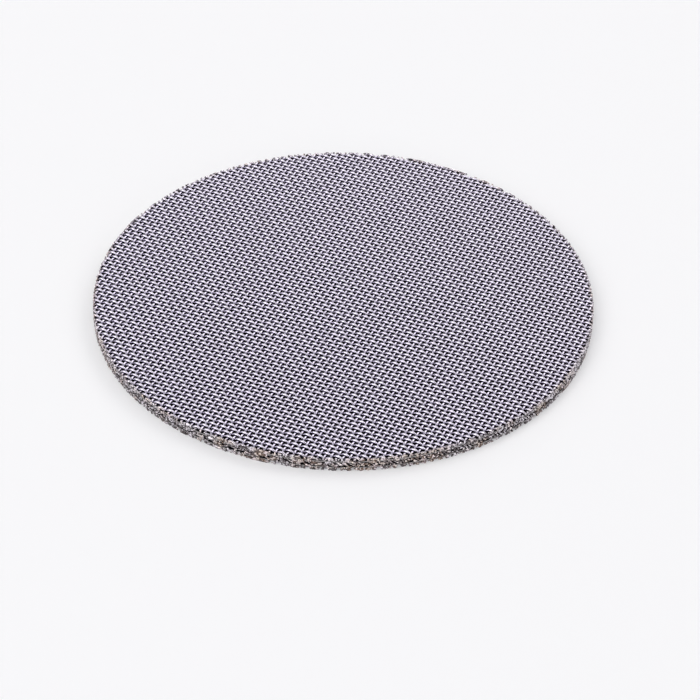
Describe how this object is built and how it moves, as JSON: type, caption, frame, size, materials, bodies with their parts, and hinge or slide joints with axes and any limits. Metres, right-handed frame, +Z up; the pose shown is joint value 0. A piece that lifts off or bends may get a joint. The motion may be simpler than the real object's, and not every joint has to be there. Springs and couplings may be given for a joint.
{
  "type": "puck screen",
  "caption": "Thin round disc of woven steel mesh, sintered into one stiff plate, that lies on ground coffee in a filter basket and spreads the water over it.",
  "frame": {"origin": "centre of the lower face, which the disc rests on", "axes": "+Z up through the disc, +X along the wires whose ridges show on the top face, +Y along those on the bottom face"},
  "size_m": [0.058, 0.058, 0.0017],
  "materials": {
    "sintered_mesh": "sintered stainless steel wire cloth with flattened bright crowns, dark between the wires, and a cut rim with a slight brown tint"
  },
  "bodies": {
    "root": {"mesh_disc": "sintered_mesh"}
  },
  "joints": []
}
